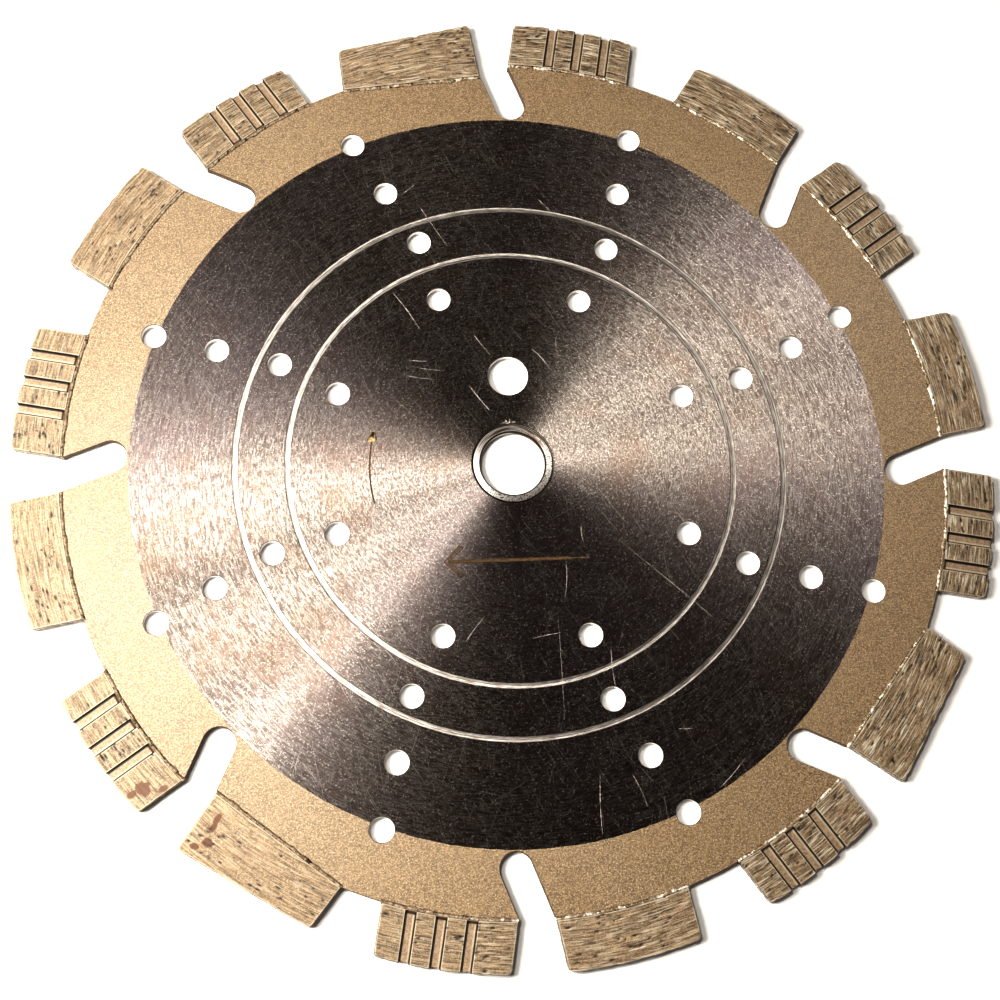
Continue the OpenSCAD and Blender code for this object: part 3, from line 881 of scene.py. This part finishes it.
# ---- etched arrows: thin closed ribbons just on the face
def ribbons(name, lines, mat, lo, hi):
    """lines: (points, width) each; one closed flat strip for each."""
    verts, faces = [], []
    for pts, w in lines:
        p = np.array(pts, float)
        tan = np.gradient(p, axis=0)
        tan /= np.linalg.norm(tan, axis=1)[:, None]
        nrm = np.stack([-tan[:, 1], tan[:, 0]], 1) * w / 2
        n, b = len(p), sum(len(v) for v in verts)
        for q, z in ((p + nrm, hi), (p - nrm, hi), (p - nrm, lo), (p + nrm, lo)):
            verts.append(np.column_stack([q, np.full(n, z)]))
        for i in range(n - 1):
            for r in range(4):
                s = (r + 1) % 4
                faces.append((b + r * n + i, b + s * n + i, b + s * n + i + 1, b + r * n + i + 1))
        faces += [(b, b + 3 * n, b + 2 * n, b + n), (b + n - 1, b + 2 * n - 1, b + 3 * n - 1, b + 4 * n - 1)]
    return piece(name, np.concatenate(verts), faces, [mat], "blade", sharp=30.0)


def line(a, b, n=24):
    s = np.linspace(0, 1, n)[:, None]
    return np.array(a, float) * (1 - s) + np.array(b, float) * s


def outline_of(path, half):
    """The two edges of a stroke, as two runs of points, one on each side of its path."""
    tan = np.gradient(path, axis=0)
    tan /= np.linalg.norm(tan, axis=1)[:, None]
    nrm = np.stack([-tan[:, 1], tan[:, 0]], 1) * half
    return path + nrm, path - nrm


def build_arrows():
    z = CORE_T / 2
    dark, gold = [], []
    tip, tail = (-22.6, -30.6), (22.0, -30.6)
    for s in (1, -1):
        dark.append((line((tip[0] + 1.3, tip[1] + 0.40 * s), (tail[0] - 6.0, tail[1] + 0.40 * s), 60), 0.30))
        dark.append((line((tip[0] - 0.1, tip[1] - 0.1 * s), (tip[0] + 4.8, tip[1] + 4.9 * s), 12), 0.36))
        dark.append((line((tip[0] + 2.1, tip[1] + 0.65 * s), (tip[0] + 5.9, tip[1] + 4.3 * s), 12), 0.30))
        dark.append((line((tip[0] + 4.7, tip[1] + 4.95 * s), (tip[0] + 5.9, tip[1] + 4.2 * s), 4), 0.30))
        gold.append((line((tip[0] + 1.1, tip[1] + 0.45 * s), (tip[0] + 5.2, tip[1] + 4.5 * s), 12), 0.42))
    gold.append((line((tip[0] + 0.9, tip[1]), tail, 60), 0.48))
    s = np.linspace(0, 1, 40)
    arc = np.stack([-43.0 - 0.2 * s - 4.2 * s * (1 - s), -11.7 + 19.9 * s], 1)
    dark.append((arc, 0.52))
    top, tip = np.array((-43.2, 8.4)), np.array((-42.6, 11.4))
    for sx in (-1.25, -0.65, 0.0, 0.65):
        gold.append((line(top + (sx, -0.5 + 0.4 * abs(sx)), tip + (0.18 * sx, 0.0), 8), 0.62))
    dark.append((line(top + (1.45, 0.2), tip + (0.25, -0.2), 8), 0.5))
    dark.append((line(top + (-1.7, -0.3), tip + (-0.5, -0.4), 8), 0.28))
    return (ribbons("rotation_arrows", dark, ETCH, z - 0.012, z + 0.014),
            ribbons("arrow_fill", gold, ETCH_GOLD, z - 0.012, z + 0.009))


SCRATCHES = (((-12.5, 26.0), (-6.0, 17.0), 0.32), ((8.0, 37.5), (14.0, 29.5), 0.26), ((18.0, -6.0), (26.0, -12.0), 0.26),
             ((29.5, -24.0), (62.5, -54.5), 0.15), ((-35.5, 58.0), (-26.5, 44.0), 0.26), ((-26.0, 88.0), (-17.0, 73.0), 0.20),
             ((13.0, 89.0), (17.0, 84.5), 0.22), ((-10.0, 42.5), (-5.0, 35.5), 0.20), ((16.0, 41.0), (16.5, 33.5), 0.18),
             ((-31.5, 34.5), (-25.0, 34.0), 0.18), ((-32.0, 29.5), (-22.5, 28.0), 0.20), ((-30.5, 32.5), (-20.0, 30.8), 0.14),
             ((26.5, -58.0), (27.0, -71.0), 0.18), ((20.5, -96.5), (20.0, -114.0), 0.22), ((30.0, -96.5), (34.0, -106.5), 0.20),
             ((45.0, -84.0), (49.5, -84.0), 0.24), ((56.0, -102.0), (64.5, -93.5), 0.22), ((3.0, -55.0), (12.0, -53.5), 0.18),
             ((11.0, -48.5), (11.0, -80.0), 0.10), ((-17.5, -55.5), (-11.0, -47.5), 0.20), ((14.5, -31.5), (13.5, -43.0), 0.16),
             ((20.0, -20.0), (20.5, -26.5), 0.24), ((-31.0, 91.0), (-26.0, 95.0), 0.18))


def build_scratches():
    lines = []
    g = np.random.default_rng(8)
    for a, b, w in SCRATCHES:
        s = np.linspace(0, 1, 18)
        p = line(a, b, 18)
        tan = (np.array(b) - np.array(a)) / np.hypot(b[0] - a[0], b[1] - a[1])
        bow = g.uniform(-0.5, 0.5) * np.sin(math.pi * s)
        p = p + np.array([-tan[1], tan[0]]) * bow[:, None]
        width = np.maximum(w * np.sin(math.pi * s) ** 0.5 * (0.55 + 0.9 * noise2(s * 6, w * 40, 61)), 0.03)
        lines.append((p, width[:, None]))
    return ribbons("long_scratches", lines, SCORE, CORE_T / 2 - 0.012, CORE_T / 2 + 0.006)


def build_burr():
    """The small staking burr where the core was peened over the ring."""
    verts, faces = [], []
    g = np.random.default_rng(5)
    for cx, cy, sx, sy, h, rot in ((-0.95, 12.75, 1.05, 0.36, 0.24, 20), (-0.30, 13.25, 0.85, 0.34, 0.28, 68), (0.75, 13.30, 1.0, 0.26, 0.18, 14),
                                   (-2.15, 13.15, 0.85, 0.24, 0.14, 32), (-0.75, 12.25, 0.7, 0.30, 0.20, -15), (-1.35, 13.75, 0.6, 0.2, 0.16, 120),
                                   (0.25, 12.65, 0.8, 0.22, 0.2, 150), (-0.2, 14.1, 0.55, 0.18, 0.12, 80), (1.5, 12.95, 0.6, 0.16, 0.12, -30)):
        b = sum(len(v) for v in verts)
        nu, nv = 14, 7
        th, ph = np.meshgrid(2 * np.pi * np.arange(nu) / nu, np.linspace(0, np.pi, nv)[1:-1], indexing="ij")
        k = 1 + 0.35 * (g.random(th.shape) - 0.5)
        x, y, z = sx * k * np.sin(ph) * np.cos(th), sy * k * np.sin(ph) * np.sin(th), h * k * np.cos(ph)
        xy = turn(np.stack([x, y], -1), rot) + (cx, cy)
        m = nv - 2
        verts.append(np.column_stack([xy.reshape(-1, 2), (z + CORE_T / 2 + 0.02).ravel()]))
        verts.append(np.array([[cx, cy, CORE_T / 2 + 0.02 + h], [cx, cy, CORE_T / 2 + 0.02 - h]]))
        i0 = np.arange(nu * m).reshape(nu, m) + b
        top, bot = b + nu * m, b + nu * m + 1
        for i in range(nu):
            j = (i + 1) % nu
            faces.append((top, i0[i, 0], i0[j, 0]))
            faces.append((bot, i0[j, -1], i0[i, -1]))
            for r in range(m - 1):
                faces.append((i0[i, r], i0[i, r + 1], i0[j, r + 1], i0[j, r]))
    v = np.concatenate(verts)
    r = np.hypot(v[:, 0], v[:, 1])
    out = np.where(r < 13.2, 12.74 + (r - 11.85) * 0.46 / 1.35, r)     # clear of the ring, which slides past
    v[:, :2] *= (out / r)[:, None]
    return piece("staking_burr", v, [tuple(int(q) for q in f) for f in faces], [BURR], "blade", sharp=40.0)


build_core()
build_bushing()
build_arrows()
build_scratches()
build_burr()
for i, k in enumerate(PLAIN_K):
    segment(f"plain_segment_{i + 1}", 10 + i, curved_place(k, PLAIN_ANG), 40.0, 15.0, f"seg_plain_{i + 1}", PLAIN_MAT)
    weld(f"plain_bead_{i + 1}", 10 + i, curved_seam(k, PLAIN_ANG), 40.0, f"weld_plain_{i + 1}")
for i, k in enumerate(DROP_K):
    place, length = drop_place(k)
    segment(f"drop_segment_{i + 1}", 30 + i, place, length, 16.8, f"seg_drop_{i + 1}", PLAIN_MAT, rust=-1.0 if k == 3 else 0.0)
    seam, length = drop_seam(k)
    weld(f"drop_bead_{i + 1}", 30 + i, seam, length, f"weld_drop_{i + 1}")
for k in range(8):
    segment(f"turbo_segment_{k + 1}", 50 + k, curved_place(k, TURBO_ANG), 40.0, 15.0, f"seg_turbo_{k + 1}", TURBO_MAT,
            turbo=True, rust=1.0 if k == 3 else 0.0)
    weld(f"turbo_bead_{k + 1}", 50 + k, curved_seam(k, TURBO_ANG), 40.0, f"weld_turbo_{k + 1}")


# -------------------------------------------------------------------- stage
def build_stage():
    t = Tree("pale_table")
    p = t.vec("SCALE", t.coord, scale=1000.0)
    n = t.noise(p, 0.02, 2.0, 0.5)
    t.shader(Base_Color=t.mix(n, (0.84, 0.84, 0.84), (0.86, 0.86, 0.855)), Roughness=0.8)
    me = bpy.data.meshes.new("table_top")
    z = -SEG_T / 2 * MM - 0.00002
    me.from_pydata([(-6, -6, z), (6, -6, z), (6, 6, z), (-6, 6, z)], [], [(0, 1, 2, 3)])
    me.materials.append(t.mat)
    o = bpy.data.objects.new("table_top", me)
    bpy.context.scene.collection.objects.link(o)


def lamp(name, at, size, power, colour=(1, 1, 1), glossy=True, diffuse=True, across=(1, 0, 0)):
    """A soft rectangular panel that faces the object, its width along across."""
    d = bpy.data.lights.new(name, "AREA")
    d.shape = "RECTANGLE"
    d.size, d.size_y = size
    d.energy, d.color = power, colour
    o = bpy.data.objects.new(name, d)
    z = Vector(at).normalized()
    x = (Vector(across) - z * Vector(across).dot(z)).normalized()
    o.matrix_world = Matrix.Translation(at) @ Matrix((x, z.cross(x), z)).transposed().to_4x4()
    o.visible_glossy, o.visible_diffuse = glossy, diffuse
    o.visible_camera = False
    bpy.context.scene.collection.objects.link(o)
    return o


def build_light():
    key = Vector((-0.285, 0.150, 0.945))
    side = Vector((-0.276, 0.961, 0.0))
    cool = (1.0, 0.983, 0.932)
    lamp("sheen_a", Vector((-0.225, 0.248, 0.943)), (0.120, 0.42), 1.9, cool, diffuse=False, across=side)
    lamp("sheen_b", Vector((-0.185, 0.105, 0.975)), (0.085, 0.42), 1.55, cool, diffuse=False, across=side)
    lamp("sheen_c", Vector((-0.490, -0.310, 0.81)), (0.105, 0.28), 2.4, cool, diffuse=False, across=(-0.74, 0.67, 0.0))
    lamp("sheen_d", Vector((-0.30, 0.50, 0.83)), (0.26, 0.36), 0.14, cool, diffuse=False, across=(0.5, 0.866, 0.0))
    lamp("sheen_e", Vector((0.396, 0.285, 0.870)), (0.115, 0.28), 0.19, cool, diffuse=False, across=(0.0, 1.0, 0.0))
    lamp("sheen_g", Vector((0.375, 0.398, 0.835)), (0.075, 0.28), 0.20, cool, diffuse=False, across=(-0.469, 0.883, 0.0))
    lamp("sheen_f", Vector((-0.09, 0.75, 0.655)), (0.30, 0.30), 0.13, cool, diffuse=False, across=(1.0, 0.0, 0.0))
    lamp("key_soft", key, (0.15, 0.15), 5.0, (1.0, 0.955, 0.88), glossy=False)
    lamp("key_low", Vector((-0.40, -0.03, 0.42)), (0.25, 0.25), 7.9, (1.0, 0.955, 0.88), glossy=False)
    lamp("fill_soft", (0.5, -0.5, 1.3), (1.2, 1.2), 2.0, (1.0, 0.97, 0.94), glossy=False)
    w = bpy.data.worlds.new("room")
    w.use_nodes = True
    nt = w.node_tree
    nt.nodes.clear()
    out, bg = nt.nodes.new("ShaderNodeOutputWorld"), nt.nodes.new("ShaderNodeBackground")
    tc, sep, ramp = nt.nodes.new("ShaderNodeTexCoord"), nt.nodes.new("ShaderNodeSeparateXYZ"), nt.nodes.new("ShaderNodeValToRGB")
    nt.links.new(tc.outputs["Generated"], sep.inputs[0])
    nt.links.new(sep.outputs["Z"], ramp.inputs[0])
    e = ramp.color_ramp.elements
    e[0].position, e[0].color = 0.0, (0.30, 0.26, 0.235, 1)
    e[1].position, e[1].color = 0.08, (0.16, 0.125, 0.11, 1)
    for pos, c in ((0.24, (0.040, 0.024, 0.019, 1)), (0.6, (0.022, 0.010, 0.008, 1)), (1.0, (0.018, 0.008, 0.006, 1))):
        s = e.new(pos)
        s.color = c
    nt.links.new(ramp.outputs[0], bg.inputs[0])
    nt.links.new(bg.outputs[0], out.inputs[0])
    bpy.context.scene.world = w


def build_camera():
    c = bpy.data.cameras.new("photo_view")
    c.sensor_width, c.lens = 36.0, 59.27
    c.clip_start, c.clip_end = 0.01, 50
    o = bpy.data.objects.new("photo_view", c)
    rx, ry, rz = CAM_ROT
    ang = math.sqrt(rx * rx + ry * ry + rz * rz)
    rot = Matrix.Rotation(ang, 3, Vector((rx, ry, rz)) / ang)      # row frame to camera
    t = Vector(CAM_T) * MM
    o.matrix_world = Matrix.Translation(-(rot.transposed() @ t)) @ rot.transposed().to_4x4()
    bpy.context.scene.collection.objects.link(o)
    bpy.context.scene.camera = o


CAM_ROT = (-0.26379, 0.08909, 0.04269)
CAM_T = (3.875, 11.064, -510.09)

build_stage()
build_light()
build_camera()
vs = bpy.context.scene.view_settings
vs.view_transform, vs.look, vs.exposure, vs.gamma = "Standard", "None", 0.12, 0.75
